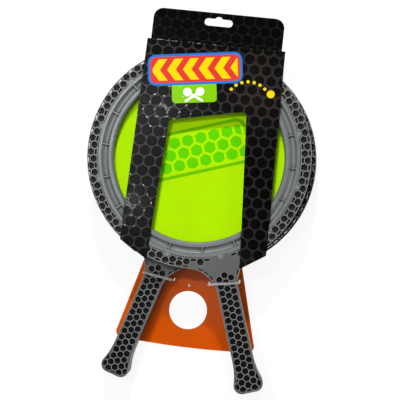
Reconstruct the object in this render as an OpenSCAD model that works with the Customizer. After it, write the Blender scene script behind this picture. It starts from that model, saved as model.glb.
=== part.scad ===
// A set of two round catch paddles in its hanging card pack.
// The pack lies on its back: +X right, +Y towards the hanging tab, +Z out of the front panel.
// The origin is on the middle line of the pack, level with the centres of the two paddle heads,
// on the back of the pack.

/* [Paddle head] */
// Outside diameter of the head
head_d = 240; // [210:1:270]
// Thickness of a paddle, face to back
paddle_t = 22; // [18:0.5:28]
// Width of the honeycomb band round the head
band_w = 11.4; // [10.4:0.1:13]
// Width of the flat land of a clamp hoop
land_w = 3.8; // [3:0.1:6]
// Width of the flange of a clamp hoop that seats on the core
flange_w = 3.4; // [2.8:0.1:4]
// Width of the hollow channel of a clamp hoop
channel_w = 8.4; // [7:0.1:11]
// Depth of the hollow channel
channel_d = 2.6; // [1.8:0.1:3.4]
// Width of the round bead inside the channel
bead_w = 4.6; // [3:0.1:6]
// Drop of the bead below the face
bead_drop = 1; // [0.4:0.1:2]
// Ribs across the channel
ribs = 18; // [12:1:24]
// Thickness of a rib
rib_t = 1.2; // [0.8:0.1:2]
// Drop of a rib below the face
rib_drop = 0.6; // [0.4:0.1:0.8]
// Thickness of the stretched membrane
membrane_t = 1; // [0.6:0.1:2]
// Distance of the membrane's edge inside the clamp hoops' outer wall
membrane_edge = 1.2; // [0.6:0.1:2]

/* [Clamp lobes] */
// Lobes round each clamp hoop
lobes = 12; // [8:1:14]
// Radius of a lobe
lobe_r = 3.2; // [2.8:0.1:3.6]
// Step from the flange's underside up to the underside of a lobe
lobe_step = 0.6; // [0.3:0.1:1]
// Distance of a stake outside the land's edge
stake_out = 0.8; // [0.5:0.1:1]
// Radius of a stake that holds the hoops
stake_r = 1.1; // [0.8:0.1:1.3]
// Radius of a stake's flush head
stake_head_r = 1.8; // [1.5:0.1:2]
// Thickness of a stake's flush head
stake_head_t = 0.6; // [0.4:0.1:1]

/* [Handle] */
// Reach from the head's centre to the end of the handle
reach = 254.5; // [240:0.5:270]
// Width of the handle
handle_w = 22.5; // [21:0.5:28]
// Width of the knob at the handle's end
knob_w = 31; // [28:0.5:34]
// Corner radius of the knob
knob_r = 8.5; // [7:0.5:10]
// Fillet from the knob to the handle
knob_fillet = 75; // [60:1:90]
// Fillet from the head to the handle
neck_fillet = 34; // [24:1:44]

/* [Honeycomb] */
// Depth of the face cells, the thickness of a shell's face
face_t = 3; // [2:0.1:4]
// Thickness of a shell's side wall
wall_t = 2.2; // [1.6:0.1:3]
// Cells round the head for each lobe
cells_per_lobe = 4; // [3:1:4]
// Size across the flats of a head cell
head_cell = 6.6; // [5.8:0.1:6.8]
// Wall left between a head cell and the band's edge
head_rim = 0.5; // [0.4:0.1:0.7]
// Size across the flats of a side cell
side_cell = 6.4; // [4.8:0.1:6.8]
// Distance between the rows of side cells
side_step = 4.5; // [4:0.1:5]
// Rise of the middle row of side cells from the seam between the shells
side_rise = 0.4; // [0.3:0.1:0.8]
// Width of a narrow cut cell
slot_w = 2; // [1.4:0.1:2.2]
// Length of a narrow cut cell
slot_l = 5.2; // [4:0.1:6]
// Wall left between a narrow cut cell and the band's edge
slot_rim = 0.9; // [0.7:0.1:1.2]
// Size across the flats of a handle cell
handle_cell = 6; // [5:0.1:6.1]
// Distance between the cells along the handle
handle_pitch = 7.3; // [7.2:0.1:8]
// Wall left between a handle cell and the handle's edge
handle_rim = 1.3; // [1.1:0.1:1.6]
// Wall left between a knob cell and the knob's edge
knob_rim = 1.8; // [1.4:0.1:2.4]
// Distance from the head's edge to the first handle cell
handle_start = 9.6; // [8:0.1:16]
// Dashes along each neck fillet
dashes = 3; // [2:1:4]

/* [Places of the paddles] */
// Distance of the front head's centre to the left of the pack's middle
front_left = 5; // [3:0.5:6]
// Distance of the rear head's centre to the right of the pack's middle
rear_right = 2; // [0:0.5:4]
// Angle of the front handle from straight down
front_splay = 18.8; // [18:0.1:19.4]
// Angle of the rear handle from straight down
rear_splay = 17.1; // [16.5:0.1:18]

/* [Card pack] */
// Thickness of the card
card_t = 0.6; // [0.4:0.1:1]
// Width of the pack at the top
pack_top_w = 149; // [120:1:180]
// Width of the front panel at its lower corners
pack_low_w = 156; // [130:1:184]
// Height of the hanging tab above the top panel
tab_h = 48; // [34:1:70]
// Distance of the hanging tab's middle to the left of the pack's middle
tab_left = 3; // [0:0.5:5]
// Corner radius of the hanging tab
tab_r = 11; // [2:0.5:16]
// Length of the hanging slot
slot_hang_l = 32; // [28:0.5:40]
// Height of the hanging slot
slot_hang_h = 8.5; // [6:0.5:11]
// Radius of the bump above the hanging slot
slot_bump_r = 5; // [3:0.5:7]
// Distance from the tab's top edge to the slot's centre
slot_hang_drop = 11; // [9:0.5:20]
// Angle of the lower flaps, from straight down
flap_a = 33; // [31:0.5:37]
// Half width between the inner ends of the lower creases
crease_in = 52; // [46:0.5:60]
// Half width of the window at its top
window_top = 41; // [34:0.5:52]
// Height of the window's top edge above the head's centre
window_y = 44; // [20:1:70]
// Slope of the window's top edge
window_a = 12; // [0:0.5:16]
// Corner radius of the window
window_r = 5; // [2:0.5:10]
// Distance from the head's centre to the insert card's lower edge
insert_reach = 208; // [198:1:225]
// Width of the insert card's lower edge
insert_w = 154; // [140:1:176]
// Half width of the insert card at its waist
insert_waist = 54; // [52:0.5:58]
// Bow of the insert card's lower edge
insert_bow = 3; // [1:0.5:5]
// Corner radius of the insert card
insert_r = 7; // [3:0.5:14]
// Radius of the ball hole in the insert card
ball_hole_r = 21; // [15:0.5:27]
// Distance of the ball hole's centre up from the middle between the ties and the card's lower edge
ball_hole_up = 6.25; // [3.25:0.25:9.25]

/* [Ties] */
// Distance from the head's edge to the ties
tie_reach = 18.5; // [17:0.5:26]
// Turn of a tie from square across its handle
tie_turn = 9; // [6:0.5:12]
// Width of a tie's strap
tie_w = 2.5; // [1.5:0.1:4]
// Thickness of a tie's strap
tie_t = 0.5; // [0.3:0.1:0.5]
// Slack of a tie on the side towards the other handle
tie_slack_in = 5.8; // [5.6:0.1:9]
// Slack of a tie on its outer side
tie_slack_out = 1.6; // [1.6:0.1:3]
// Distance of the card tack above the ball hole's edge
tack_up = 6; // [3:0.5:10]
// Distance of the card tack to the left of the pack's middle
tack_left = 2; // [0:0.5:4]

/* [Clearances] */
// Gap between pieces that lie on each other
lay_gap = 0.3; // [0.2:0.05:0.5]
// Gap between a hoop and its seat
seat_gap = 0.3; // [0.2:0.05:0.4]
// Gap between the core and the shells and hoops over it
core_gap = 0.05; // [0.02:0.01:0.1]
// Gap round a stake
stake_gap = 0.1; // [0.05:0.05:0.15]
// Gap between the heads and the folded card round them
wrap_gap = 0.8; // [0.6:0.1:2]
// Gap round a strap or a tack in the insert card
slit_gap = 0.3; // [0.2:0.05:0.5]
// Gap between a tie and the back of the insert card
tie_gap = 0.05; // [0.02:0.01:0.1]

/* [Hidden] */
$fn = 96;
eps = 0.01;
cut = 1;

// The parts of a paddle
head_r = head_d / 2;
half_t = paddle_t / 2;
hoop_r = head_r - band_w;
land_in = hoop_r - land_w;
channel_mid = land_in - channel_w / 2;
bead_out = land_in - channel_w;
hoop_in = bead_out - bead_w;
hoop_body_r = hoop_r - flange_w;
seat_r = hoop_r + seat_gap;
core_in = hoop_body_r + seat_gap;
channel_r = (pow(channel_w / 2, 2) + pow(channel_d, 2)) / (2 * channel_d);
rib_root = 0.5;
rib_deep = channel_d + rib_root;
land_edge = 0.5;
stake_place = hoop_r + stake_out;
membrane_r = hoop_body_r - membrane_edge;
core_inset = wall_t + seat_gap;

// The outline's centres
handle_h = handle_w / 2;
neck_x = handle_h + neck_fillet;
neck_y = -sqrt(pow(head_r + neck_fillet, 2) - pow(neck_x, 2));
neck_a = asin(neck_x / (head_r + neck_fillet));
knob_x = knob_w / 2 - knob_r;
knob_y = -reach + knob_r;
flare_x = handle_h + knob_fillet;
// The flare sits a little low, so that it crosses the knob's corner instead of only touching it
flare_ease = 0.06;
flare_y = knob_y + sqrt(pow(knob_r + knob_fillet, 2) - pow(flare_x - knob_x, 2)) - flare_ease;

// The honeycomb
head_cells = lobes * cells_per_lobe;
cell_a = 360 / head_cells;
lobe_a = 360 / lobes;
row_out = head_r - head_rim - head_cell / 2;
row_in = seat_r + head_rim + head_cell / 2;
slot_out = head_r - slot_rim - slot_w / 2;
slot_in = seat_r + slot_rim + slot_w / 2;
neck_lead_a = 2;
side_lead_a = 3;
bare_out_a = neck_a - neck_lead_a;
bare_in_a = cell_a;
bare_side_a = neck_a + side_lead_a;
column_step = handle_pitch * sqrt(3) / 2;
first_cell = -head_r - handle_start;
cell_rows = floor((reach - head_r - handle_start) / handle_pitch);
dash_place = neck_fillet + slot_rim + slot_w / 2;
dash_first_a = 60;
dash_step_a = 11;

// The stack, from the back of the pack to its front panel
insert_z = card_t;
rear_z = 2 * card_t + lay_gap;
front_z = rear_z + paddle_t + lay_gap;
wrap_z = front_z + paddle_t;
panel_z = wrap_z + lay_gap;

// The card pack
top_y = head_r + wrap_gap;
flap_in = head_r + wrap_gap + max(front_left, rear_right) * sin(flap_a);
panel_top = top_y + card_t;
pack_top = panel_top + tab_h;
crease_r = flap_in + card_t;
pack_h = pack_top_w / 2;
low_h = pack_low_w / 2;
tie_y = head_r + tie_reach;
ball_hole_y = (tie_y + insert_reach) / 2 - ball_hole_up;
tack_y = ball_hole_y - ball_hole_r - tack_up;
neck_share = 0.6;
flap_first_a = max(front_splay, rear_splay) + neck_a * neck_share;
flap_short = 3;
tie_corner = 0.3;
tie_lead = (handle_h + tie_slack_in) * sin(tie_turn);
bow_steps = 8;
tack_r = 0.6;
tack_bar = 5;
tack_head_r = 1.3;

// A point at half width x on a line along the lower crease, at distance r from the origin
function slant_y(x, r) = -(r - x * sin(flap_a)) / cos(flap_a);

// A point on the lower crease, at half width x from the middle
function crease_y(x) = slant_y(x, crease_r);

// A six-sided cell of a given size across its flats, with its points along X
module cell(flats) circle(r = flats / sqrt(3), $fn = 6);

// A six-sided cell with its points along Y
module cell_upright(flats) rotate(30) cell(flats);

// Children at a given angle from the handle and distance from the head's centre
module polar(angle, r) rotate(angle - 90) translate([r, 0]) children();

// The outline of a paddle is its head, its handle with the neck and flare fillets, and its knob.
// Each is drawn in by a given inset.
module head_flat(inset) circle(r = head_r - inset);

module handle_flat(inset) {
    side_w = flare_x + neck_x;
    difference() {
        polygon([
            [0, 0], [neck_x, neck_y], [flare_x, flare_y], [knob_x, knob_y],
            [-knob_x, knob_y], [-flare_x, flare_y], [-neck_x, neck_y]
        ]);
        for (side = [-1, 1]) {
            translate([side * neck_x, neck_y]) circle(r = neck_fillet + inset);
            translate([side * flare_x, flare_y]) circle(r = knob_fillet + inset);
            translate([side * (handle_h - inset + side_w / 2), (neck_y + flare_y) / 2])
                square([side_w, neck_y - flare_y], center = true);
        }
    }
}

module knob_flat(inset) {
    for (side = [-1, 1])
        translate([side * knob_x, knob_y]) circle(r = knob_r - inset);
    translate([-knob_x, -reach + inset]) square([2 * knob_x, knob_r]);
}

// A flat slab of the whole outline
module slab(inset, h) {
    linear_extrude(h) head_flat(inset);
    linear_extrude(h) handle_flat(inset);
    linear_extrude(h) knob_flat(inset);
}

// How far an angle is from the handle's direction, from 0 to 180
function off_handle(angle) = abs(((angle + 180) % 360) - 180);

// The cells of the band round the head: two staggered rows, and cut cells along both edges
module head_cells_flat() {
    for (i = [0 : head_cells - 1]) {
        a = i * cell_a;
        b = a + cell_a / 2;
        if (off_handle(a) > bare_out_a)
            polar(a, row_out) cell_upright(head_cell);
        if (off_handle(b) > bare_in_a)
            polar(b, row_in) cell_upright(head_cell);
        if (i % cells_per_lobe != 0)
            polar(a, slot_in) square([slot_w, slot_l], center = true);
        if (off_handle(b) > bare_out_a)
            polar(b, slot_out) square([slot_w, slot_l], center = true);
    }
}

// The cells of the handle: three staggered columns, with two more cut cells each side of the knob
module handle_cells_flat() {
    last = first_cell - cell_rows * handle_pitch;
    intersection() {
        union() {
            handle_flat(handle_rim);
            knob_flat(knob_rim);
        }
        union() {
            for (column = [-1 : 1], row = [0 : cell_rows])
                translate([column * column_step, first_cell - (row + abs(column) / 2) * handle_pitch])
                    cell(handle_cell);
            for (side = [-1, 1], row = [1 : 2])
                translate([side * 2 * column_step, last + row * handle_pitch]) cell(handle_cell);
        }
    }
}

// The dashes along the two neck fillets
module neck_dashes() {
    for (side = [-1, 1], i = [0 : dashes - 1])
        translate([side * neck_x, neck_y])
            rotate(90 + side * (dash_first_a - i * dash_step_a))
                translate([dash_place, 0]) square([slot_w, slot_l], center = true);
}

// The rows of cells in the side of the head, for one half shell whose face is at z = 0
module side_cells() {
    for (i = [0 : head_cells - 1], row = [0 : 1]) {
        a = (i + row / 2) * cell_a;
        if (off_handle(a) > bare_side_a)
            rotate([0, 0, a - 90])
                translate([head_r - wall_t - cut, 0, row * side_step + side_rise - half_t])
                    rotate([0, 90, 0])
                        linear_extrude(wall_t + 2 * cut) cell_upright(side_cell);
    }
}

// Half of a paddle's moulded skin, with its face at z = 0 and its wall below
module half_shell() {
    color([0.50, 0.51, 0.51])
    difference() {
        union() {
            translate([0, 0, -face_t]) slab(0, face_t);
            translate([0, 0, -half_t]) difference() {
                slab(0, half_t);
                translate([0, 0, -cut]) slab(wall_t, half_t + 2 * cut);
            }
        }
        translate([0, 0, -face_t - cut]) cylinder(r = seat_r, h = face_t + 2 * cut);
        for (i = [0 : lobes - 1])
            rotate([0, 0, i * lobe_a - 90]) translate([hoop_r, 0, -face_t - cut])
                cylinder(r = lobe_r + seat_gap, h = face_t + 2 * cut);
        translate([0, 0, -face_t]) linear_extrude(face_t + cut) {
            head_cells_flat();
            handle_cells_flat();
            neck_dashes();
        }
        side_cells();
    }
}

// The dark inner frame of a paddle, which the shells and the hoops close over
module core() {
    core_t = paddle_t - 2 * (face_t + core_gap);
    color([0.08, 0.08, 0.08])
    translate([0, 0, face_t + core_gap]) difference() {
        slab(core_inset, core_t);
        translate([0, 0, -cut]) cylinder(r = core_in, h = core_t + 2 * cut);
        for (i = [0 : lobes - 1])
            rotate([0, 0, i * lobe_a - 90]) translate([stake_place, 0, -cut])
                cylinder(r = stake_r + stake_gap, h = core_t + 2 * cut);
    }
}

// The section of a clamp hoop, with its face at z = 0: land, hollow channel and round bead
module hoop_section() {
    low = membrane_t / 2 - half_t;
    bead_h = bead_w / 2;
    difference() {
        union() {
            polygon([
                [hoop_in, low], [hoop_body_r, low], [hoop_body_r, -face_t], [hoop_r, -face_t],
                [hoop_r, -land_edge], [hoop_r - land_edge, 0], [channel_mid, 0],
                [channel_mid, -bead_drop], [hoop_in + bead_h, -bead_drop],
                [hoop_in + bead_h, -bead_drop - bead_h], [hoop_in, -bead_drop - bead_h]
            ]);
            translate([hoop_in + bead_h, -bead_drop - bead_h]) circle(r = bead_h);
        }
        translate([channel_mid, channel_r - channel_d]) circle(r = channel_r);
    }
}

// A clamp hoop, with its face at z = 0: the ring, ribs across its channel and staked lobes
module half_hoop() {
    color([0.53, 0.54, 0.54])
    difference() {
        union() {
            rotate_extrude() hoop_section();
            for (i = [0 : ribs - 1])
                rotate([0, 0, (i + 0.5) * 360 / ribs - 90])
                    translate([bead_out, -rib_t / 2, -rib_deep])
                        cube([channel_w + rib_root, rib_t, rib_deep - rib_drop]);
            for (i = [0 : lobes - 1])
                rotate([0, 0, i * lobe_a - 90]) translate([hoop_r, 0, lobe_step - face_t])
                    cylinder(r = lobe_r, h = face_t - lobe_step);
        }
        for (i = [0 : lobes - 1])
            rotate([0, 0, i * lobe_a - 90]) translate([stake_place, 0, 0]) {
                translate([0, 0, -face_t - cut])
                    cylinder(r = stake_r + stake_gap, h = face_t + 2 * cut);
                translate([0, 0, -stake_head_t])
                    cylinder(r = stake_head_r + stake_gap, h = stake_head_t + cut);
            }
    }
}

// The stretched membrane, held between the two hoops
module membrane() {
    color([0.71, 0.93, 0.02])
    translate([0, 0, half_t - membrane_t / 2]) cylinder(r = membrane_r, h = membrane_t);
}

// The stakes through both hoops and the core, each with a flush head at both ends
module stakes() {
    color([0.62, 0.63, 0.63])
    for (i = [0 : lobes - 1])
        rotate([0, 0, i * lobe_a - 90]) translate([stake_place, 0, 0]) {
            cylinder(r = stake_r, h = paddle_t);
            cylinder(r = stake_head_r, h = stake_head_t);
            translate([0, 0, paddle_t - stake_head_t])
                cylinder(r = stake_head_r, h = stake_head_t);
        }
}

// Children moved and turned with a paddle: side is 1 for the front one, its handle to the right,
// and -1 for the rear one, its handle to the left
module placed(side)
    translate([side > 0 ? -front_left : rear_right, 0, 0])
        rotate([0, 0, side > 0 ? front_splay : -rear_splay])
            children();

module in_front() translate([0, 0, front_z]) placed(1) children();
module in_rear() translate([0, 0, rear_z]) placed(-1) children();

module face_side() translate([0, 0, paddle_t]) children();
module back_side() mirror([0, 0, 1]) children();

// A rectangle with round corners, centred
module round_rect(w, h, r) {
    square([w - 2 * r, h], center = true);
    square([w, h - 2 * r], center = true);
    for (x = [-1, 1], y = [-1, 1])
        translate([x * (w / 2 - r), y * (h / 2 - r)]) circle(r = r);
}

// The slot that the pack hangs by: a long round-ended slot with a bump over its middle
module hang_slot() {
    translate([-tab_left, pack_top - slot_hang_drop]) {
        round_rect(slot_hang_l, slot_hang_h, slot_hang_h / 2 - eps);
        translate([0, slot_hang_h / 2 - slot_bump_r / 2]) circle(r = slot_bump_r);
    }
}

// The back of the pack, flat: the tab with round corners, down to the lower creases
module back_flat() {
    low_y = crease_y(pack_h);
    tab_top = pack_top - tab_r;
    difference() {
        union() {
            polygon([
                [-pack_h - tab_left, tab_top], [-pack_h - tab_left, panel_top], [-pack_h, panel_top],
                [-pack_h, low_y], [-crease_in, crease_y(crease_in)],
                [crease_in, crease_y(crease_in)], [pack_h, low_y],
                [pack_h, panel_top], [pack_h - tab_left, panel_top], [pack_h - tab_left, tab_top]
            ]);
            for (side = [-1, 1])
                translate([side * (pack_h - tab_r) - tab_left, tab_top]) circle(r = tab_r);
            translate([-pack_h + tab_r - tab_left, tab_top - cut])
                square([pack_top_w - 2 * tab_r, tab_r + cut]);
        }
        hang_slot();
    }
}

// A lower flap on the right, folded forward along the crease beside the head
module flap() {
    first = flap_in * tan(flap_first_a - flap_a);
    last = (low_h - crease_r * sin(flap_a)) / cos(flap_a);
    rotate([0, 0, flap_a - 90]) translate([flap_in, first, card_t - eps])
        cube([card_t, last - first - flap_short, wrap_z - card_t + eps]);
}

// The back, the hanging tab, the top panel and the two lower flaps: one folded black card
module back_wrap() {
    color([0.08, 0.07, 0.07])
    union() {
        linear_extrude(card_t) back_flat();
        translate([-pack_h, top_y, card_t - eps]) cube([pack_top_w, card_t, wrap_z - card_t + eps]);
        flap();
        mirror([1, 0, 0]) flap();
    }
}

// The window of the front panel: a slanted top edge with round corners, open below
module window() {
    rise = (window_top - window_r) * tan(window_a);
    low = crease_y(crease_in) - window_r * tan(window_a);
    hull() {
        for (side = [-1, 1])
            translate([side * (window_top - window_r), window_y - window_r + side * rise])
                circle(r = window_r, $fn = 32);
        translate([-crease_in, low - cut]) square([2 * crease_in, cut]);
    }
}

// The front panel with its window and its two legs, which rest on the lower flaps
module front_panel() {
    low = crease_y(low_h);
    in_y = crease_y(crease_in);
    color([0.08, 0.07, 0.07])
    translate([0, 0, panel_z]) linear_extrude(card_t) difference() {
        polygon([
            [-pack_h, panel_top], [-low_h, low], [-crease_in, in_y],
            [crease_in, in_y], [low_h, low], [pack_h, panel_top]
        ]);
        window();
    }
}

// A point on the bowed lower edge of the insert card, at half width x
function bow_y(x) = insert_bow * pow(2 * x / insert_w, 2) - insert_reach;

// The orange card behind the handles, flat, with the hole for the ball and the slits for the ties
module insert_flat() {
    in_r = flap_in - lay_gap;
    side_y = slant_y(pack_h, in_r);
    waist_y = slant_y(insert_waist, in_r);
    low_x = insert_w / 2 - insert_r;
    low_y = bow_y(low_x) + insert_r;
    difference() {
        union() {
            polygon([
                [-pack_h, top_y - lay_gap], [-pack_h, side_y], [-insert_waist, waist_y],
                [-low_x - insert_r, low_y], [low_x + insert_r, low_y], [insert_waist, waist_y],
                [pack_h, side_y], [pack_h, top_y - lay_gap]
            ]);
            for (side = [-1, 1])
                translate([side * low_x, low_y]) circle(r = insert_r);
            polygon(concat(
                [[low_x, low_y + cut], [-low_x, low_y + cut]],
                [for (i = [-bow_steps : bow_steps]) [i * low_x / bow_steps, bow_y(i * low_x / bow_steps)]]
            ));
        }
        translate([0, -ball_hole_y]) circle(r = ball_hole_r);
        translate([-tack_left, -tack_y]) circle(r = tack_r + slit_gap);
        for (side = [-1, 1])
            at_tie(side) tie_slits(side);
    }
}

// Children at a tie's place on its handle, turned with the tie; side is 1 for the right handle
module at_tie(side)
    placed(side) translate([0, -tie_y, 0]) rotate([0, 0, -side * tie_turn]) children();

// Half the width of the neck at a distance below the middle of a tie
function neck_half(below) =
    neck_x - sqrt(pow(neck_fillet, 2) - pow(neck_y + tie_y + below - tie_w / 2, 2));

// The reach of a tie towards the other handle and away from it
function tie_in() = neck_half(-tie_lead) + tie_slack_in;
function tie_out() = neck_half(tie_lead) + tie_slack_out;

// The reach of a tie to its left and right; side is 1 for the right handle
function tie_low(side) = side > 0 ? -tie_in() : -tie_out();
function tie_high(side) = side > 0 ? tie_out() : tie_in();

// The two slits that a tie passes through
module tie_slits(side) {
    slit_w = tie_t + 2 * slit_gap;
    slit_h = tie_w + 2 * slit_gap;
    for (x = [tie_low(side) - tie_t / 2, tie_high(side) + tie_t / 2])
        translate([x, 0]) square([slit_w, slit_h], center = true);
}

module insert_card() {
    color([0.88, 0.38, 0.04])
    translate([0, 0, insert_z]) linear_extrude(card_t) insert_flat();
}

// A clear tie: a flat strap in a closed loop over a neck and through the insert card
module tie(side, top) {
    low_z = insert_z - tie_t - tie_gap;
    w = tie_high(side) - tie_low(side);
    h = top + lay_gap - low_z - tie_t;
    color([0.93, 0.93, 0.95, 0.6])
    at_tie(side)
        translate([(tie_high(side) + tie_low(side)) / 2, tie_w / 2, low_z + tie_t + h / 2])
            rotate([90, 0, 0]) linear_extrude(tie_w) difference() {
                round_rect(w + 2 * tie_t, h + 2 * tie_t, tie_corner + tie_t);
                round_rect(w, h, tie_corner);
            }
}

// The clear tack in the insert card: a stem with a bar in front and a flat head behind
module card_tack() {
    head_z = insert_z - tie_t;
    color([0.93, 0.93, 0.95, 0.6])
    translate([-tack_left, -tack_y, 0]) {
        translate([0, 0, head_z]) cylinder(r = tack_r, h = 2 * card_t + tie_t);
        translate([0, 0, head_z]) cylinder(r = tack_head_r, h = tie_t);
        translate([0, tack_bar / 2, 2 * card_t + tack_r]) rotate([90, 0, 0])
            cylinder(r = tack_r, h = tack_bar);
    }
}

module front_tie() tie(1, front_z + paddle_t);
module rear_tie() tie(-1, rear_z + paddle_t);
module front_core() in_front() core();
module front_shell_face() in_front() face_side() half_shell();
module front_shell_back() in_front() back_side() half_shell();
module front_hoop_face() in_front() face_side() half_hoop();
module front_hoop_back() in_front() back_side() half_hoop();
module front_membrane() in_front() membrane();
module front_stakes() in_front() stakes();
module rear_core() in_rear() core();
module rear_shell_face() in_rear() face_side() half_shell();
module rear_shell_back() in_rear() back_side() half_shell();
module rear_hoop_face() in_rear() face_side() half_hoop();
module rear_hoop_back() in_rear() back_side() half_hoop();
module rear_membrane() in_rear() membrane();
module rear_stakes() in_rear() stakes();

back_wrap();
front_panel();
insert_card();
card_tack();
front_tie();
rear_tie();
front_core();
front_shell_face();
front_shell_back();
front_hoop_face();
front_hoop_back();
front_membrane();
front_stakes();
rear_core();
rear_shell_face();
rear_shell_back();
rear_hoop_face();
rear_hoop_back();
rear_membrane();
rear_stakes();
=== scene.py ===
"""Looks of a set of two catch paddles in its hanging card pack.

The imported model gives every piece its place. This script finishes the pieces, thins the walls between
the shells' cells, stretches the two membranes between their hoops, widens the panel's left leg, prints
the cards and sets the light and the camera.
"""

import math
from typing import NamedTuple

import bmesh
import bpy
import numpy as np
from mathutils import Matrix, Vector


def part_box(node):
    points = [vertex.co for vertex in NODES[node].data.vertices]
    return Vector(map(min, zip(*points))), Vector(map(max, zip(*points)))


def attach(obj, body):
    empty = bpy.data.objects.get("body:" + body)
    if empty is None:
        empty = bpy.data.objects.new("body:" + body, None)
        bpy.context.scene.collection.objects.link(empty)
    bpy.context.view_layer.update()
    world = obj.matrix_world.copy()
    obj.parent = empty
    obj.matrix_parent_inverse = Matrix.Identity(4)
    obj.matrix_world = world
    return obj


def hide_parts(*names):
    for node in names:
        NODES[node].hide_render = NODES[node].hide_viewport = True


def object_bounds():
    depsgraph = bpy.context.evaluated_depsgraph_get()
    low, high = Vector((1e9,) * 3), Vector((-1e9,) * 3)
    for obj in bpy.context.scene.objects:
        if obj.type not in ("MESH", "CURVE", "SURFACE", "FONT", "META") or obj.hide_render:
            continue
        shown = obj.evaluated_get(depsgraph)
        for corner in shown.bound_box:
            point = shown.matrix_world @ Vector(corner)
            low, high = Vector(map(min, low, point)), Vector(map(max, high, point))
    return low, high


bl_info = {
    "name": "Paddle catch set",
    "version": (1, 0, 0),
    "blender": (4, 5, 0),
    "location": "View3D > Sidebar > Paddle set",
    "description": "Finishes a set of two catch paddles in its hanging card pack",
    "category": "Object",
}

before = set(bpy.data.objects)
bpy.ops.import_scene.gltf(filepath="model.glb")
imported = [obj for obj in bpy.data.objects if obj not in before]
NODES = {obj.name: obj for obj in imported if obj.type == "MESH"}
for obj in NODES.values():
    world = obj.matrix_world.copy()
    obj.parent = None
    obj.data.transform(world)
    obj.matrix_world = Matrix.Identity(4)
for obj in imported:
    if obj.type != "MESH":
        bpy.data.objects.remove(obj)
CAD_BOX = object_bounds()
MM = 0.001

# The paddles, and the turn of each one's handle from the pack's middle line
PADDLES = ("front", "rear")
TURNS = {"front": math.radians(18.8), "rear": math.radians(-17.1)}

# The membranes' sheets: their grid, and the gathers at the clamped edge
SHEET_RINGS = 40
SHEET_SPOKES = 144
SHEET_T = 0.6 * MM
GATHERS = 36
GATHER_H = 0.12 * MM

# Edges that turn by more than this stay sharp, and corners nearer than this are one
SHARP_TURN = math.radians(30)
SAME_CORNER = 0.001 * MM

# Rays that each Bevel and Ambient Occlusion node sends
NODE_SAMPLES = 8

# Keeps the x and y of a vector
LEVEL = (1.0, 1.0, 0.0)

# The floor: its distance under the object, its own glow, and the share of the glow that rays see
FLOOR_GAP = 0.4 * MM
FLOOR_GLOW = 1.03
FLOOR_SEEN = 0.86

# The world: its colours near the horizon and overhead, and its strength
SKY_LOW = (0.2, 0.2, 0.21)
SKY_HIGH = (0.5, 0.51, 0.52)
SKY_STRENGTH = 0.52


class Lamp(NamedTuple):
    """A square area lamp: its place and width in metres, its power in watts and its colour."""

    name: str
    place: tuple
    width: float
    watts: float
    colour: tuple = (1.0, 1.0, 1.0)


# The glints light the edges of the printed discs, and the hazes lie in the gloss of the cards
LAMP_AIM = (0, -0.03, 0.03)
LAMPS = (
    Lamp("key", (-0.14, 1.02, 0.90), width=0.1, watts=12.4),
    Lamp("side", (-0.40, 0.257, 1.3), width=0.06, watts=5.2),
    Lamp("fill", (0.85, 0.0, 0.5), width=0.4, watts=1.3),
    Lamp("glint_top", (-0.20, 0.26, 1.33), width=0.02, watts=1.0),
    Lamp("glint_left", (-0.265, 0.0, 1.33), width=0.02, watts=1.0),
    Lamp("haze_left", (-0.258, 0.066, 1.3), width=0.26, watts=0.22),
    Lamp("haze_top", (0.055, 0.332, 1.3), width=0.15, watts=0.45, colour=(1.0, 0.8, 0.7)),
    Lamp("haze_low", (-0.043, -0.206, 1.3), width=0.16, watts=0.75),
)


def seen(red, green, blue):
    """The linear colour of a screen colour given as three values from 0 to 255."""
    share = np.array((red, green, blue)) / 255
    linear = np.where(share <= 0.04045, share / 12.92, ((share + 0.055) / 1.055) ** 2.4)
    return tuple(float(value) for value in linear)


def darker(colour, share):
    """A fixed colour times a share."""
    return tuple(share * value for value in colour)


def middle(node):
    """The centre of a node's box at rest."""
    low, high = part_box(node)
    return (np.array(low) + np.array(high)) / 2


def colour_prop(label, words, colour):
    """A colour that a user would change."""
    return bpy.props.FloatVectorProperty(
        name=label, description=words, subtype="COLOR", size=3, min=0, max=1, default=colour
    )


def length_prop(label, words, metres):
    """A length that a user would change."""
    return bpy.props.FloatProperty(
        name=label, description=words, unit="LENGTH", default=metres, precision=5
    )


def vector_prop(label, words, kind, values):
    """A place, a move or a turn that a user would change."""
    return bpy.props.FloatVectorProperty(
        name=label, description=words, subtype=kind, size=3, default=values
    )


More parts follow.
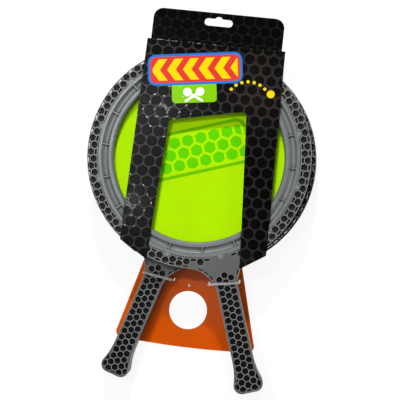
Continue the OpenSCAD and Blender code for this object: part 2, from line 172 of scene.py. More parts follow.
class PaddleLook(bpy.types.PropertyGroup):
    """Colours and small forms of the paddles."""

    shell: colour_prop("Shell", "Grey of the moulded shells", seen(73, 76, 75))
    # Painted highlight: a paler grey along the cells' edges, where rounded edges would catch the light
    shell_edge: colour_prop("Shell edge", "Paler grey on the worn edges of cells", seen(184, 186, 180))
    hoop: colour_prop("Hoop", "Bluish grey of the clamp hoops", seen(97, 101, 102))
    # Painted highlight: a paler grey along the hoops' edges
    hoop_rim: colour_prop("Hoop edge", "Paler grey along the hoops' edges", seen(150, 154, 154))
    # Cell floors: partly their own dark colour and partly painted shade at the bottom of the cells,
    # darkest along the handle
    cell_floor: colour_prop("Cell floor", "Dark grey under the head's cells", seen(30, 31, 28))
    handle_floor: colour_prop("Handle floor", "Black under the handle's cells", seen(6, 6, 8))
    stake: colour_prop("Stake", "Pale grey of the melted stake heads", seen(118, 120, 120))
    membrane: colour_prop("Membrane", "Lime of the stretched membranes", seen(170, 225, 0))
    print_mid: colour_prop("Print", "Green of the printed cells", seen(92, 202, 0))
    print_dark: colour_prop("Print edge", "Darker green of the printed frame", seen(104, 186, 0))
    grain: length_prop("Grain", "Size of the moulded grain", 0.45 * MM)
    edge: length_prop("Edge radius", "Radius of the soft moulded edges", 0.2 * MM)
    # Reach of the painted highlight along the cells' edges
    wear: length_prop("Wear", "Reach of the paler wear along the cells' edges", 0.75 * MM)
    thin: length_prop("Thinning", "Width that each cell gains on each side", 0.28 * MM)
    rim: length_prop("Rim", "Width at the head's edge and the hoop's seat that stays", 0.7 * MM)
    deep: length_prop("Cell depth", "Greatest height of a cell's wall", 4 * MM)
    # Reach of the painted shade in cells and slots
    hollow: length_prop("Hollow", "Reach of the shade in cells and slots", 5 * MM)
    hoop_edge: length_prop("Hoop edge radius", "Radius between the hoops' bands", 0.45 * MM)


class CardLook(bpy.types.PropertyGroup):
    """Colours and print of the cards and the ties."""

    disc: colour_prop("Disc", "Black of the printed discs", seen(2, 2, 2))
    net: colour_prop("Net", "Dark grey between the discs", seen(24, 23, 21))
    board: colour_prop("Board", "Raw grey board inside the folded card", seen(176, 168, 154))
    insert: colour_prop("Insert", "Orange of the insert card", seen(221, 88, 0))
    blue: colour_prop("Banner blue", "Blue of the banner's border", seen(36, 112, 196))
    red: colour_prop("Banner red", "Red of the banner's field", seen(212, 56, 46))
    yellow: colour_prop("Yellow", "Yellow of the chevrons and dots", seen(232, 203, 0))
    green: colour_prop("Label", "Green of the small label", seen(126, 196, 2))
    white: colour_prop("White", "White of the label's figures", seen(240, 244, 236))
    tie: colour_prop("Tie", "Cool grey of the clear ties", (0.62, 0.64, 0.68))
    tie_pale: colour_prop("Pale tie", "Paler clouds in the clear ties", (0.9, 0.91, 0.93))
    pitch: length_prop("Disc pitch", "Distance between the printed discs", 12.6 * MM)
    disc_r: length_prop("Disc radius", "Radius of a printed disc", 5.4 * MM)
    soft: length_prop("Soft edge", "Half the width of the discs' soft edges", 0.35 * MM)
    leg_tip: vector_prop(
        "Leg tip", "Move of the tip of the panel's left leg", "TRANSLATION", (4.2 * MM, -1.0 * MM, 0)
    )


class StageLook(bpy.types.PropertyGroup):
    """Camera and floor."""

    camera_at: vector_prop(
        "Camera", "Place of the camera", "TRANSLATION", (0.0551, -0.0951, 0.8999)
    )
    camera_turn: vector_prop(
        "Camera turn", "Turn of the camera about Z, then X, then Y", "EULER",
        (math.radians(3.252), math.radians(3.562), math.radians(6.615)),
    )
    view_angle: bpy.props.FloatProperty(
        name="View angle", description="Angle across the picture", subtype="ANGLE",
        default=math.radians(27.857),
    )
    floor: colour_prop("Floor", "White of the floor", (0.9, 0.9, 0.9))
    floor_size: length_prop("Floor size", "Width of the square floor", 8.0)


class Wiring:
    """Adds nodes to one node tree. A socket given as a value is linked, and anything else is set."""

    def __init__(self, tree):
        self.tree = tree

    def put(self, socket, value):
        if isinstance(value, bpy.types.NodeSocket):
            self.tree.links.new(value, socket)
        else:
            socket.default_value = value

    def node(self, kind, *values, **settings):
        node = self.tree.nodes.new("ShaderNode" + kind)
        for name, value in settings.items():
            setattr(node, name, value)
        for socket, value in zip(node.inputs, values):
            if value is not None:
                self.put(socket, value)
        return node

    def math(self, operation, *values):
        return self.node("Math", *values, operation=operation).outputs[0]

    def plus(self, first, last):
        return self.math("ADD", first, last)

    def minus(self, first, last):
        return self.math("SUBTRACT", first, last)

    def times(self, first, last):
        return self.math("MULTIPLY", first, last)

    def greater(self, first, last):
        return self.math("MAXIMUM", first, last)

    def size(self, value):
        """A number without its sign."""
        return self.math("ABSOLUTE", value)

    def rest(self, mask):
        """What a mask leaves out."""
        return self.minus(1.0, mask)

    def vector(self, operation, *values):
        node = self.node("VectorMath", *values, operation=operation)
        number = operation in ("LENGTH", "DISTANCE", "DOT_PRODUCT")
        return node.outputs["Value" if number else "Vector"]

    def step(self, value, low, high, first=0.0, last=1.0):
        """A smooth step from first at low to last at high."""
        node = self.node("MapRange", value, low, high, first, last, interpolation_type="SMOOTHSTEP")
        return node.outputs[0]

    def mix(self, factor, first, last):
        """A colour between first and last."""
        node = self.node("Mix", data_type="RGBA")
        self.put(node.inputs[0], factor)
        for index, colour in ((6, first), (7, last)):
            if not isinstance(colour, bpy.types.NodeSocket):
                colour = (*colour, 1)
            self.put(node.inputs[index], colour)
        return node.outputs[2]

    def shaded(self, colour, share):
        """A colour times a share."""
        return self.vector("MULTIPLY", colour, self.join(share, share, share))

    def noise(self, vector, scale, detail):
        node = self.node("TexNoise")
        for name, value in (("Vector", vector), ("Scale", scale), ("Detail", detail)):
            self.put(node.inputs[name], value)
        return node.outputs["Fac"]

    def parts(self, vector):
        """The X, Y and Z of a vector."""
        return self.node("SeparateXYZ", vector).outputs

    def join(self, x, y, z=0.0):
        return self.node("CombineXYZ", x, y, z).outputs[0]

    def place(self):
        """A point of the piece in its own metres, and the surface's direction there."""
        coordinates = self.node("TexCoord").outputs
        return coordinates["Object"], coordinates["Normal"]

    def group(self, build, **values):
        """A shared effect, built when it is first used."""
        tree = bpy.data.node_groups.get(build.__name__) or build()
        node = self.node("Group", node_tree=tree)
        for name, value in values.items():
            self.put(node.inputs[name.replace("_", " ").capitalize()], value)
        return node.outputs


def open_group(name, inputs, outputs):
    """A new node group with named sockets: its tree, its wiring, its inputs and its outputs."""
    tree = bpy.data.node_groups.new(name, "ShaderNodeTree")
    for label, kind in inputs.items():
        tree.interface.new_socket(label, in_out="INPUT", socket_type="NodeSocket" + kind)
    for label, kind in outputs.items():
        tree.interface.new_socket(label, in_out="OUTPUT", socket_type="NodeSocket" + kind)
    ends = (tree.nodes.new("NodeGroupInput").outputs, tree.nodes.new("NodeGroupOutput").inputs)
    return tree, Wiring(tree), *ends


def moulded_grain():
    """Moulded plastic: a fine grain, slow mottling of the colour, and roughness that follows both."""
    inputs = {"Vector": "Vector", "Color": "Color"}
    inputs.update({label: "Float" for label in ("Grain size", "Mottle", "Roughness")})
    tree, w, given, out = open_group(
        "moulded_grain", inputs, {"Color": "Color", "Roughness": "Float", "Height": "Float"}
    )
    slow_share = 0.24
    fine_share = 0.12
    fine = w.noise(given["Vector"], scale=w.math("DIVIDE", 1.0, given["Grain size"]), detail=3.0)
    slow = w.noise(given["Vector"], scale=42.0, detail=4.0)
    slow_swing = w.minus(slow, 0.5)
    fine_swing = w.minus(fine, 0.5)
    shade = w.plus(1.0, w.times(slow_swing, given["Mottle"]))
    w.put(out["Color"], w.shaded(given["Color"], shade))
    rough = w.plus(given["Roughness"], w.times(slow_swing, slow_share))
    w.put(out["Roughness"], w.plus(rough, w.times(fine_swing, fine_share)))
    w.put(out["Height"], fine)
    return tree


def soft_edge():
    """Soft edges: the normal rounded over an edge, and a mask that is 1 where a wider rounding turns."""
    tree, w, given, out = open_group(
        "soft_edge", {"Radius": "Float", "Reach": "Float"}, {"Mask": "Float", "Normal": "Vector"}
    )
    plain = w.node("NewGeometry").outputs["Normal"]
    wide = w.node("Bevel", given["Reach"], samples=NODE_SAMPLES).outputs[0]
    w.put(out["Mask"], w.step(w.vector("DOT_PRODUCT", wide, plain), low=0.99, high=0.86))
    w.put(out["Normal"], w.node("Bevel", given["Radius"], samples=NODE_SAMPLES).outputs[0])
    return tree


def deep_shade():
    """Painted shade: a share of the colour that falls from 1 in the open to Low at the bottom of narrow
    cells and slots.
    """
    tree, w, given, out = open_group(
        "deep_shade", {"Reach": "Float", "Low": "Float"}, {"Share": "Float"}
    )
    sky = w.node("AmbientOcclusion", None, given["Reach"], samples=NODE_SAMPLES).outputs["AO"]
    w.put(out["Share"], w.step(sky, low=0.62, high=0.92, first=given["Low"], last=1.0))
    return tree


def staggered_discs():
    """Discs on a staggered lattice: two square-cornered lattices, each wrapped about its own centre.

    Distance is from the nearest disc's centre, Disc is 1 inside the radius, and Cell is 1 inside the
    six-sided cell of that radius across its flats: the greater of |x| and |x| / 2 + |y| * sqrt(3) / 2.
    """
    tree, w, given, out = open_group(
        "staggered_discs",
        {"Vector": "Vector", "Pitch": "Float", "Radius": "Float", "Soft": "Float"},
        {"Disc": "Float", "Cell": "Float", "Distance": "Float"},
    )
    x, y, _ = w.parts(given["Vector"])
    half_w = w.times(given["Pitch"], 0.5)
    half_h = w.times(given["Pitch"], math.sqrt(3) / 2)
    high = w.join(half_w, half_h, 1.0)
    low = w.vector("MULTIPLY", high, (-1.0, -1.0, -1.0))
    flat = w.join(x, y)
    shifted = w.vector("ADD", flat, w.join(half_w, half_h))
    wrapped = [w.vector("WRAP", lattice, high, low) for lattice in (flat, shifted)]
    distance = w.math("MINIMUM", *[w.vector("LENGTH", point) for point in wrapped])
    w.put(out["Distance"], distance)
    across = []
    for point in wrapped:
        side, rise, _ = w.parts(w.vector("ABSOLUTE", point))
        slant = w.plus(w.times(side, 0.5), w.times(rise, math.sqrt(3) / 2))
        across.append(w.greater(side, slant))
    inner = w.minus(given["Radius"], given["Soft"])
    outer = w.plus(given["Radius"], given["Soft"])
    w.put(out["Disc"], w.step(distance, outer, inner))
    w.put(out["Cell"], w.step(w.math("MINIMUM", *across), outer, inner))
    return tree


def rounded_patch():
    """A turned rectangle with round corners.

    Inside is 1 within it, Distance is measured from its edge and is negative inside, and Local is the
    point in the rectangle's own axes.
    """
    inputs = {label: "Vector" for label in ("Vector", "Centre", "Half")}
    inputs.update({label: "Float" for label in ("Turn", "Corner", "Soft")})
    tree, w, given, out = open_group(
        "rounded_patch", inputs, {"Inside": "Float", "Distance": "Float", "Local": "Vector"}
    )
    turn = w.node("VectorRotate", rotation_type="Z_AXIS")
    from_centre = w.vector("SUBTRACT", given["Vector"], given["Centre"])
    w.put(turn.inputs["Vector"], w.vector("MULTIPLY", from_centre, LEVEL))
    w.put(turn.inputs["Angle"], w.times(given["Turn"], -1.0))
    local = turn.outputs[0]
    w.put(out["Local"], local)
    straight = w.vector("SUBTRACT", given["Half"], w.join(given["Corner"], given["Corner"]))
    past = w.vector("SUBTRACT", w.vector("ABSOLUTE", local), straight)
    past_corner = w.vector("MULTIPLY", w.vector("MAXIMUM", past, (0.0, 0.0, 0.0)), LEVEL)
    past_x, past_y, _ = w.parts(past)
    inside = w.math("MINIMUM", w.greater(past_x, past_y), 0.0)
    distance = w.minus(w.plus(w.vector("LENGTH", past_corner), inside), given["Corner"])
    w.put(out["Distance"], distance)
    w.put(out["Inside"], w.step(distance, given["Soft"], w.times(given["Soft"], -1.0)))
    return tree


def raw_board():
    """Raw grey board: short fibres over a slow cloud."""
    tree, w, given, out = open_group(
        "raw_board", {"Vector": "Vector", "Color": "Color"}, {"Color": "Color", "Height": "Float"}
    )
    stretched = w.vector("MULTIPLY", given["Vector"], (1.0, 0.25, 1.0))
    darkest = 0.62
    fibre_share = 0.5
    cloud_share = 0.3
    fibre = w.noise(stretched, scale=2600.0, detail=4.0)
    cloud = w.noise(given["Vector"], scale=60.0, detail=3.0)
    shade = w.plus(darkest, w.plus(w.times(fibre, fibre_share), w.times(cloud, cloud_share)))
    w.put(out["Color"], w.shaded(given["Color"], shade))
    w.put(out["Height"], fibre)
    return tree


def new_material(name):
    """A material with its wiring and its Principled shader's sockets."""
    made = bpy.data.materials.new(name)
    made.use_nodes = True
    shader = made.node_tree.nodes["Principled BSDF"]
    return made, Wiring(made.node_tree), shader.inputs


def bump(w, height, strength, distance, normal=None):
    """A normal pushed about by a height."""
    node = w.node("Bump")
    node.inputs["Strength"].default_value = strength
    node.inputs["Distance"].default_value = distance
    w.put(node.inputs["Height"], height)
    if normal is not None:
        w.put(node.inputs["Normal"], normal)
    return node.outputs[0]


def grained(w, shader, **values):
    """Gives a shader the colour and the roughness of moulded grain, and hands back the grain's height."""
    grain = w.group(moulded_grain, **values)
    w.put(shader["Base Color"], grain["Color"])
    w.put(shader["Roughness"], grain["Roughness"])
    return grain["Height"]


def moulded_material(name, look, colour, highlight_colour, radius, wear, roughness):
    """Moulded plastic with a fine grain, soft edges with a patchy painted highlight along them, and
    painted shade in its hollows.
    """
    made, w, shader = new_material(name)
    place, _ = w.place()
    edge = w.group(soft_edge, radius=radius, reach=wear)
    # Painted shade: the colour darkens to 0.16 of itself at the bottom of narrow cells and slots
    share = w.group(deep_shade, reach=look.hollow, low=0.16)["Share"]
    # Painted highlight: a patchy paler grey along the edges
    patchy = w.step(w.noise(place, scale=260.0, detail=3.0), 0.25, 0.6, first=0.45, last=1.0)
    tone = w.shaded(w.mix(w.times(edge["Mask"], patchy), colour, highlight_colour), share)
    height = grained(
        w, shader, vector=place, color=tone, grain_size=look.grain, mottle=0.16, roughness=roughness
    )
    w.put(shader["Normal"], bump(w, height, strength=0.25, distance=0.05 * MM, normal=edge["Normal"]))
    return made


def core_material(look):
    """The core at the bottom of the cells: dark grey in the head, black along the handle; partly its own
    colour, partly painted shade.
    """
    made, w, shader = new_material("core")
    place, _ = w.place()
    head_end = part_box("front_hoop_face")[0][1] - 8 * MM
    handle_start = head_end - 4 * MM
    in_head = w.step(w.parts(place)[1], handle_start, head_end)
    tone = w.mix(in_head, look.handle_floor, look.cell_floor)
    height = grained(
        w, shader, vector=place, color=tone, grain_size=look.grain, mottle=0.5, roughness=0.55
    )
    w.put(shader["Normal"], bump(w, height, strength=0.3, distance=0.05 * MM))
    shader["Specular IOR Level"].default_value = 0.12
    return made


def stake_material(look):
    """Melted stake heads: smooth and a little lumpy."""
    made, w, shader = new_material("stake")
    place, _ = w.place()
    height = grained(
        w, shader, vector=place, color=(*look.stake, 1), grain_size=1.2 * MM, mottle=0.3, roughness=0.42
    )
    w.put(shader["Normal"], bump(w, height, strength=0.8, distance=0.5 * MM))
    return made


def dress(nodes, material):
    """Gives a material to CAD nodes."""
    for node in nodes:
        for slot in NODES[node].material_slots:
            slot.material = material


def add_surface(name, points, faces, material):
    """A smooth mesh object at the origin, from an array of points and lists of corners."""
    mesh = bpy.data.meshes.new(name)
    mesh.from_pydata(points.tolist(), [], faces)
    mesh.polygons.foreach_set("use_smooth", np.ones(len(mesh.polygons), dtype=bool))
    mesh.update()
    mesh.materials.append(material)
    made = bpy.data.objects.new(name, mesh)
    bpy.context.scene.collection.objects.link(made)
    return made


def merged_triangles(node):
    """The points, the triangles and the triangles' directions of a CAD node, with its corners joined."""
    work = bmesh.new()
    work.from_mesh(NODES[node].data)
    bmesh.ops.remove_doubles(work, verts=work.verts, dist=SAME_CORNER)
    work.verts.index_update()
    work.normal_update()
    points = np.array([corner.co for corner in work.verts])
    faces = np.array([[corner.index for corner in face.verts] for face in work.faces])
    directions = np.array([face.normal for face in work.faces])
    work.free()
    return points, faces, directions


def thin_walled(node, centre, thin, rim, deep):
    """The points and triangles of a shell with wider cells, and so with thinner walls between them.

    A corner moves by the level d that best solves n . d = -thin for the directions n of the upright
    faces that meet there, where a second direction of less than least_second is none. Faces taller than
    deep, which are the shell's outer walls, aren't counted, and corners within rim of the head's edge and
    of the hoop's seat stay.
    """
    most_lean = 0.05
    least_second = 0.02
    points, faces, directions = merged_triangles(node)
    heights = np.ptp(points[faces][:, :, 2], axis=1)
    counted = (np.abs(directions[:, 2]) < most_lean) & (heights < deep)
    corner = faces[counted].ravel()
    level = np.repeat(directions[counted, :2], 3, axis=0)
    square = np.zeros((len(points), 2, 2))
    total = np.zeros((len(points), 2))
    np.add.at(square, corner, level[:, :, None] * level[:, None, :])
    np.add.at(total, corner, level)
    move = -thin * np.einsum("pij,pj->pi", np.linalg.pinv(square, rcond=least_second), total)
    low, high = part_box(node)
    away = np.linalg.norm(points[:, :2] - centre[:2], axis=1)
    at_edge = np.abs(away - (high[0] - low[0]) / 2) < rim
    at_seat = away < away.min() + rim
    move[at_edge | at_seat] = 0
    points[:, :2] += move
    return points, faces.tolist()


class PADDLE_OT_frames(bpy.types.Operator):
    """Thin the shells' cell walls, and finish the shells, hoops, cores and stakes of both paddles"""

    bl_idname = "paddle.frames"
    bl_label = "Paddle frames"

    def execute(self, context):
        look = context.scene.paddle_look
        shell = moulded_material(
            "shell", look, look.shell, look.shell_edge, radius=look.edge, wear=look.wear, roughness=0.46
        )
        hoop = moulded_material(
            "hoop", look, look.hoop, look.hoop_rim,
            radius=look.hoop_edge, wear=look.hoop_edge, roughness=0.38,
        )
        core = core_material(look)
        stake = stake_material(look)
        for paddle in PADDLES:
            centre = middle(paddle + "_membrane")
            for node in (paddle + "_shell_face", paddle + "_shell_back"):
                points, faces = thin_walled(node, centre, look.thin, look.rim, look.deep)
                piece = add_surface(node + "_moulded", points, faces, shell)
                piece.data.set_sharp_from_angle(angle=SHARP_TURN)
                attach(piece, paddle + "_paddle")
                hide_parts(node)
            dress([paddle + "_hoop_face", paddle + "_hoop_back"], hoop)
            dress([paddle + "_core"], core)
            dress([paddle + "_stakes"], stake)
        return {"FINISHED"}


def stretched_disc(centre, radius):
    """A stretched disc on a polar grid.

    A point at share s of the radius and angle a lies at centre + radius * s * (cos a, sin a), raised by
    GATHER_H * s^12 * cos(GATHERS * a): flat in the middle, with small gathers where the edge is clamped.
    """
    share = np.linspace(0, 1, SHEET_RINGS + 1)[1:, None]
    spoke = np.arange(SHEET_SPOKES)
    angle = spoke[None, :] * 2 * np.pi / SHEET_SPOKES
    x = centre[0] + radius * share * np.cos(angle)
    y = centre[1] + radius * share * np.sin(angle)
    z = centre[2] + GATHER_H * share**12 * np.cos(GATHERS * angle)
    points = np.concatenate([[centre], np.stack([x, y, z], axis=-1).reshape(-1, 3)])
    beside = (spoke + 1) % SHEET_SPOKES
    fan = np.stack([np.zeros(SHEET_SPOKES, dtype=int), 1 + spoke, 1 + beside], axis=-1)
    ring = np.arange(SHEET_RINGS - 1)[:, None] * SHEET_SPOKES + 1
    outer = ring + SHEET_SPOKES
    quads = np.stack([ring + spoke, outer + spoke, outer + beside, ring + beside], axis=-1)
    return points, fan.tolist() + quads.reshape(-1, 4).tolist()


def patch(w, place, centre, half_w, half_h, corner, turn=0.0, soft=0.3 * MM):
    """A rounded patch of print."""
    return w.group(
        rounded_patch, vector=place, centre=centre, half=(half_w, half_h, 0), turn=turn, corner=corner,
        soft=soft,
    )


def spot(w, place, centre, radius):
    """A round spot of print."""
    return patch(w, place, centre, radius, radius, corner=radius)["Inside"]


def within(w, shape, inset, fade):
    """A mask that is 1 farther inside a patch than an inset from its edge."""
    return w.step(shape["Distance"], -inset, -inset - fade)


def membrane_material(paddle, look):
    """Lime knit with a printed frame of honeycomb cells, square to the paddle's own handle."""
    made, w, shader = new_material(paddle + "_membrane")
    place, _ = w.place()
    turn = TURNS[paddle]
    soft = 0.35 * MM
    fade = 0.7 * MM
    badge_up = 8 * MM
    badge_left = 1 * MM
    across = np.array((math.cos(turn), math.sin(turn), 0))
    up = np.array((-math.sin(turn), math.cos(turn), 0))
    badge_at = tuple(middle(paddle + "_membrane") + up * badge_up - across * badge_left)
    badge = patch(
        w, place, badge_at, half_w=58 * MM, half_h=25 * MM, corner=12 * MM, turn=turn, soft=soft
    )
    border = w.minus(badge["Inside"], within(w, badge, inset=3.2 * MM, fade=fade))
    field = within(w, badge, inset=6.2 * MM, fade=fade)
    cells = w.group(
        staggered_discs, vector=badge["Local"], pitch=14.5 * MM, radius=5.9 * MM, soft=soft
    )
    tone = w.mix(border, look.membrane, look.print_dark)
    tone = w.mix(w.times(cells["Cell"], field), tone, look.print_mid)
    shade = w.step(w.noise(place, scale=18.0, detail=3.0), 0.2, 0.8, first=0.94, last=1.04)
    w.put(shader["Base Color"], w.shaded(tone, shade))
    knit = w.node("TexWave", wave_type="BANDS", bands_direction="DIAGONAL")
    w.put(knit.inputs["Vector"], place)
    knit.inputs["Scale"].default_value = 520.0
    knit.inputs["Distortion"].default_value = 1.5
    thread = knit.outputs["Fac"]
    w.put(shader["Roughness"], w.step(thread, 0.0, 1.0, first=0.5, last=0.62))
    shader["Specular IOR Level"].default_value = 0.02
    w.put(shader["Normal"], bump(w, thread, strength=0.12, distance=0.05 * MM))
    return made


class PADDLE_OT_membranes(bpy.types.Operator):
    """Stretch a membrane between the two hoops of each paddle"""

    bl_idname = "paddle.membranes"
    bl_label = "Membranes"

    def execute(self, context):
        look = context.scene.paddle_look
        for paddle in PADDLES:
            node = paddle + "_membrane"
            low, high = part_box(node)
            radius = (high[0] - low[0]) / 2
            points, faces = stretched_disc(middle(node), radius)
            material = membrane_material(paddle, look)
            piece = add_surface(paddle + "_membrane_sheet", points, faces, material)
            wall = piece.modifiers.new("thickness", "SOLIDIFY")
            wall.thickness = SHEET_T
            wall.offset = 0
            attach(piece, paddle + "_paddle")
            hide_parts(node)
        return {"FINISHED"}


def card_print(w, place, look):
    """The printed side of the black card: bare discs in a varnished net, with a crisp step between.

    Gives its colour, its roughness, the height of the raised discs and the weight of the varnish.
    """
    discs = w.group(
        staggered_discs, vector=place, pitch=look.pitch, radius=look.disc_r, soft=look.soft
    )
    cloud = w.step(w.noise(place, scale=14.0, detail=3.0), 0.3, 0.75)
    net = w.mix(cloud, darker(look.net, 0.6), look.net)
    tone = w.mix(discs["Disc"], net, look.disc)
    smear = w.step(w.noise(place, scale=55.0, detail=4.0), 0.25, 0.8, first=0.18, last=0.26)
    from_edge = w.minus(discs["Distance"], look.disc_r)
    glint = w.step(w.size(from_edge), 0.5 * MM, 0.8 * MM, first=0.04, last=0.6)
    rough = w.math("MINIMUM", smear, glint)
    raised = w.step(from_edge, 0.5 * MM, -0.5 * MM, first=0.0, last=0.024)
    varnish = w.step(discs["Disc"], 0.0, 1.0, first=0.16, last=0.0)
    return tone, rough, raised, varnish


def flat_on_walls(w, place, facing):
    """Places for a flat print: (x, y) on level card, (x, z) and (y, z) on walls across y and across x."""
    x, y, z = w.parts(place)
    facing_x, facing_y, _ = w.parts(facing)
    wall_from = 0.69
    wall_full = 0.71
    across_x = w.step(w.size(facing_x), wall_from, wall_full)
    across_y = w.step(w.size(facing_y), wall_from, wall_full)
    return w.mix(across_x, w.mix(across_y, w.join(x, y), w.join(x, z)), w.join(y, z))


def sideways(w, facing):
    """A mask that is 1 where a surface faces sideways."""
    return w.step(w.size(w.parts(facing)[2]), 0.6, 0.4)


def finish_card(w, shader, tone, rough, height, board_mask, place, look):
    """The gloss and the waves of a printed card, with raw board wherever the mask is 1."""
    wave_h = 0.2
    fibre_h = 0.05
    board_rough = 0.85
    shader["Specular IOR Level"].default_value = 0.035
    board = w.group(raw_board, vector=place, color=(*look.board, 1))
    w.put(shader["Base Color"], w.mix(board_mask, tone, board["Color"]))
    w.put(shader["Roughness"], w.greater(rough, w.times(board_mask, board_rough)))
    height = w.plus(height, w.times(w.noise(place, scale=24.0, detail=2.0), wave_h))
    height = w.plus(height, w.times(w.times(board["Height"], board_mask), fibre_h))
    w.put(shader["Normal"], bump(w, height, strength=0.7, distance=1.0 * MM))


def varnish_net(w, shader, varnish, bare):
    """Hazy varnish on the net of the black card, and none where bare is 1."""
    shader["Coat Roughness"].default_value = 0.3
    w.put(shader["Coat Weight"], w.times(varnish, w.rest(bare)))


def crossed_paddles(w, place, tone, centre, tilt, colour):
    """Two small paddles that cross just under a centre."""
    lean = math.radians(58)
    head_r = 4.6 * MM
    head_out = 8 * MM
    grip_back = 3.5 * MM
    crossing = np.array(centre) - np.array((0, 3.6 * MM, 0))
    for side in (-1, 1):
        turn = side * lean + tilt
        along = np.array((-math.sin(turn), math.cos(turn), 0))
        head_at = tuple(crossing + along * head_out)
        grip_at = tuple(crossing - along * grip_back)
        head = spot(w, place, head_at, head_r)
        grip = patch(w, place, grip_at, half_w=1.3 * MM, half_h=8 * MM, corner=1.2 * MM, turn=turn)
        tone = w.mix(w.greater(head, grip["Inside"]), tone, colour)
    return tone


def chevrons(w, tone, banner, look):
    """A banner with a blue border, a red field and yellow chevrons along it."""
    slant = 0.7
    half_pitch = 8.5 * MM
    bar_from = 3.6 * MM
    fade = 0.6 * MM
    tone = w.mix(banner["Inside"], tone, look.blue)
    tone = w.mix(within(w, banner, inset=2.4 * MM, fade=fade), tone, look.red)
    along, over, _ = w.parts(banner["Local"])
    arrow = w.minus(along, w.times(w.size(over), slant))
    bar = w.step(w.math("PINGPONG", arrow, half_pitch), bar_from, bar_from + fade)
    field = within(w, banner, inset=5 * MM, fade=fade)
    return w.mix(w.times(bar, field), tone, look.yellow)


def dotted_bounce(w, place, tone, look):
    """Yellow dots along an arc, with a ball at its end."""
    centre = (41 * MM, 61 * MM, 0)
    radius = 24 * MM
    dot_r = 1.5 * MM
    dot_soft = 0.5 * MM
    dot_step = math.radians(16)
    first = math.radians(28)
    last = math.radians(152)
    fade = math.radians(2)
    ball_at = (64 * MM, 74 * MM, 0)
    ball_r = 4.2 * MM
    offset = w.vector("MULTIPLY", w.vector("SUBTRACT", place, centre), LEVEL)
    x, y, _ = w.parts(offset)
    angle = w.math("ARCTAN2", y, x)
    around = w.times(w.math("WRAP", angle, dot_step / 2, -dot_step / 2), radius)
    out = w.minus(w.vector("LENGTH", offset), radius)
    dot = w.step(w.vector("LENGTH", w.join(around, out)), dot_r + dot_soft, dot_r)
    span = w.times(w.step(angle, first, first + fade), w.step(angle, last, last - fade))
    tone = w.mix(w.times(dot, span), tone, look.yellow)
    return w.mix(spot(w, place, ball_at, ball_r), tone, look.yellow)


def panel_header(w, place, tone, look):
    """A generic header: a chevron banner, a label with two crossed paddles, and a dotted bounce.

    Gives the colour with the header on it, and a mask that is 1 on the banner and the label.
    """
    tilt = math.radians(8)
    banner_at = (-19.5 * MM, 93 * MM, 0)
    label_at = (-17.5 * MM, 67.5 * MM, 0)
    banner = patch(w, place, banner_at, half_w=51 * MM, half_h=17 * MM, corner=9 * MM, turn=tilt)
    label = patch(w, place, label_at, half_w=24 * MM, half_h=11 * MM, corner=4 * MM, turn=tilt)
    tone = w.mix(label["Inside"], tone, look.green)
    tone = crossed_paddles(w, place, tone, label_at, tilt, look.white)
    tone = chevrons(w, tone, banner, look)
    tone = dotted_bounce(w, place, tone, look)
    return tone, w.greater(banner["Inside"], label["Inside"])


def panel_material(look):
    """The front panel: printed outside, raw board inside and on its cut edges, scuffed along its fold."""
    made, w, shader = new_material("front_card")
    place, facing = w.place()
    fold_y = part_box("front_panel")[1][1]
    tone, rough, raised, varnish = card_print(w, place, look)
    tone, inked = panel_header(w, place, tone, look)
    x, y, _ = w.parts(place)
    along_fold = w.vector("MULTIPLY", place, (0.5, 1.6, 1.0))
    torn = w.step(w.noise(along_fold, scale=700.0, detail=4.0), 0.55, 0.62)
    at_fold = w.step(y, fold_y - 1.3 * MM, fold_y - 0.3 * MM)
    at_left = w.step(x, 20 * MM, -25 * MM, first=0.2, last=1.0)
    scuff = w.times(w.times(torn, at_fold), at_left)
    outside = w.step(w.parts(facing)[2], 0.7, 0.8)
    board = w.greater(w.rest(outside), w.times(scuff, 0.8))
    finish_card(w, shader, tone, rough, raised, board, place, look)
    varnish_net(w, shader, w.times(varnish, w.rest(inked)), board)
    return made


def wrap_material(look):
    """The back, tab, top and flaps: printed outside, raw board inside and on the cut edges.

    The tab and the top have no varnish.
    """
    made, w, shader = new_material("back_card")
    place, facing = w.place()
    low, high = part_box("front_panel")
    margin = 0.02 * MM
    card_top = high[2] - low[2] + margin
    tone, rough, raised, varnish = card_print(w, flat_on_walls(w, place, facing), look)
    _, y, z = w.parts(place)
    cut_edge = w.times(sideways(w, facing), w.step(z, card_top, card_top - margin))
    wall = w.step(z, card_top, card_top + margin)
    outward = w.vector("DOT_PRODUCT", facing, w.vector("MULTIPLY", place, LEVEL))
    inner = w.times(wall, w.step(outward, 0.0, -1 * MM))
    board = w.greater(cut_edge, inner)
    finish_card(w, shader, tone, rough, raised, board, place, look)
    past_fold = w.step(y, high[1], high[1] + 1 * MM)
    varnish_net(w, shader, w.times(varnish, w.rest(past_fold)), board)
    return made


def wide_leg(node, shift):
    """The points and triangles of the front panel, with the tip of its left leg moved by shift.

    The tip is the lowest corner left of the middle, so the leg's inner edge leans with it.
    """
    points, faces, _ = merged_triangles(node)
    left = points[:, 0] < 0
    tip = left & (points[:, 1] < points[left, 1].min() + 0.5 * MM)
    points[tip] += np.array(shift)
    return points, faces.tolist()


class PADDLE_OT_cards(bpy.types.Operator):
    """Print and varnish the folded black card, and widen the left leg of its panel"""

    bl_idname = "paddle.cards"
    bl_label = "Black card"

    def execute(self, context):
        look = context.scene.card_look
        points, faces = wide_leg("front_panel", look.leg_tip)
        panel = add_surface("front_panel_card", points, faces, panel_material(look))
        panel.data.set_sharp_from_angle(angle=SHARP_TURN)
        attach(panel, "panel")
        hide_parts("front_panel")
        dress(["back_wrap"], wrap_material(look))
        return {"FINISHED"}


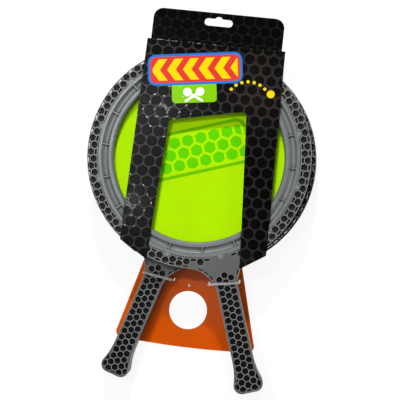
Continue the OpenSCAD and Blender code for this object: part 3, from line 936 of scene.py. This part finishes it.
def insert_material(look):
    """The orange insert card: glossy print with soft clouds, and raw board on its cut edges."""
    made, w, shader = new_material("insert_card")
    place, facing = w.place()
    cloud = w.step(w.noise(place, scale=20.0, detail=3.0), 0.2, 0.8)
    tone = w.mix(cloud, darker(look.insert, 0.82), look.insert)
    gloss = w.step(w.noise(place, scale=40.0, detail=3.0), 0.25, 0.8, first=0.14, last=0.24)
    finish_card(w, shader, tone, gloss, 0.0, sideways(w, facing), place, look)
    return made


class PADDLE_OT_insert(bpy.types.Operator):
    """Print the orange insert card"""

    bl_idname = "paddle.insert"
    bl_label = "Insert card"

    def execute(self, context):
        dress(["insert_card"], insert_material(context.scene.card_look))
        return {"FINISHED"}


def tie_material(look):
    """Clear plastic with faint clouds."""
    made, w, shader = new_material("clear_tie")
    place, _ = w.place()
    cloudy = w.noise(place, scale=90.0, detail=2.0)
    w.put(shader["Base Color"], w.mix(cloudy, look.tie, look.tie_pale))
    w.put(shader["Roughness"], w.step(cloudy, 0.3, 0.7, first=0.22, last=0.36))
    w.put(shader["Alpha"], w.step(cloudy, 0.3, 0.7, first=0.22, last=0.34))
    shader["Transmission Weight"].default_value = 0.25
    shader["IOR"].default_value = 1.49
    w.put(shader["Normal"], bump(w, cloudy, strength=0.1, distance=0.1 * MM))
    return made


class PADDLE_OT_ties(bpy.types.Operator):
    """Finish the clear ties and the clear tack"""

    bl_idname = "paddle.ties"
    bl_label = "Ties and tack"

    def execute(self, context):
        dress(["front_tie", "rear_tie", "card_tack"], tie_material(context.scene.card_look))
        return {"FINISHED"}


def floor_material(colour):
    """A floor that the camera and mirrors see as white, less a part of the object's shadow."""
    made, w, shader = new_material("floor")
    shader["Base Color"].default_value = (*colour, 1)
    shader["Roughness"].default_value = 1.0
    shader["Specular IOR Level"].default_value = 0.0
    rays = w.node("LightPath").outputs
    seen_ray = w.greater(rays["Is Camera Ray"], rays["Is Glossy Ray"])
    seen_ray = w.greater(seen_ray, rays["Is Transmission Ray"])
    glow = w.node("Emission", (1, 1, 1, 1), FLOOR_GLOW).outputs[0]
    plain = made.node_tree.nodes["Principled BSDF"].outputs[0]
    blend = w.node("MixShader", w.times(seen_ray, FLOOR_SEEN), plain, glow).outputs[0]
    w.put(made.node_tree.nodes["Material Output"].inputs["Surface"], blend)
    return made


def add_floor(look):
    """A square floor just under the object."""
    half = look.floor_size / 2
    under = CAD_BOX[0][2] - FLOOR_GAP
    corners = [(x * half, y * half, under) for x, y in ((-1, -1), (1, -1), (1, 1), (-1, 1))]
    return add_surface("floor", np.array(corners), [[0, 1, 2, 3]], floor_material(look.floor))


def add_lamp(lamp):
    """An area lamp at its place, turned to the lamps' aim."""
    light = bpy.data.lights.new(lamp.name, "AREA")
    light.size = lamp.width
    light.energy = lamp.watts
    light.color = lamp.colour
    made = bpy.data.objects.new(lamp.name, light)
    bpy.context.scene.collection.objects.link(made)
    made.location = lamp.place
    x, y, z = np.array(lamp.place) - np.array(LAMP_AIM)
    made.rotation_euler = (math.atan2(math.hypot(x, y), z), 0, math.atan2(x, -y))


def add_world(scene):
    """A soft grey world that is lighter overhead."""
    world = bpy.data.worlds.new("studio")
    world.use_nodes = True
    w = Wiring(world.node_tree)
    up = w.parts(w.node("TexCoord").outputs["Generated"])[2]
    back = world.node_tree.nodes["Background"]
    w.put(back.inputs["Color"], w.mix(w.step(up, 0.25, 0.85), SKY_LOW, SKY_HIGH))
    back.inputs["Strength"].default_value = SKY_STRENGTH
    scene.world = world


def add_camera(scene, look):
    """The camera, set to the view of the photograph."""
    camera = bpy.data.cameras.new("camera")
    camera.angle = look.view_angle
    camera.clip_start = 0.01
    viewer = bpy.data.objects.new("camera", camera)
    scene.collection.objects.link(viewer)
    viewer.location = look.camera_at
    viewer.rotation_mode = "ZXY"
    viewer.rotation_euler = look.camera_turn
    scene.camera = viewer


class PADDLE_OT_stage(bpy.types.Operator):
    """Set the floor, the light and the camera"""

    bl_idname = "paddle.stage"
    bl_label = "Stage"

    def execute(self, context):
        scene = context.scene
        look = scene.stage_look
        floor = add_floor(look)
        for lamp in LAMPS:
            add_lamp(lamp)
        add_world(scene)
        add_camera(scene, look)
        scene.view_settings.view_transform = "Standard"
        return {"FINISHED"}


STEPS = (
    PADDLE_OT_stage, PADDLE_OT_frames, PADDLE_OT_membranes,
    PADDLE_OT_cards, PADDLE_OT_insert, PADDLE_OT_ties,
)


class PADDLE_PT_panel(bpy.types.Panel):
    """The set's looks and the steps that make them"""

    bl_idname = "PADDLE_PT_panel"
    bl_label = "Paddle set"
    bl_space_type = "VIEW_3D"
    bl_region_type = "UI"
    bl_category = "Paddle set"

    def draw(self, context):
        scene = context.scene
        for step in STEPS:
            self.layout.operator(step.bl_idname)
        for look in (scene.paddle_look, scene.card_look, scene.stage_look):
            for name in look.__annotations__:
                self.layout.prop(look, name)


LOOKS = {"paddle_look": PaddleLook, "card_look": CardLook, "stage_look": StageLook}
CLASSES = (*LOOKS.values(), *STEPS, PADDLE_PT_panel)


def register():
    for each in CLASSES:
        bpy.utils.register_class(each)
    for name, group in LOOKS.items():
        setattr(bpy.types.Scene, name, bpy.props.PointerProperty(type=group))


def unregister():
    for name in LOOKS:
        delattr(bpy.types.Scene, name)
    for each in reversed(CLASSES):
        bpy.utils.unregister_class(each)


def main():
    register()
    bpy.ops.paddle.stage()
    bpy.ops.paddle.frames()
    bpy.ops.paddle.membranes()
    bpy.ops.paddle.cards()
    bpy.ops.paddle.insert()
    bpy.ops.paddle.ties()


if __name__ == "__main__":
    main()
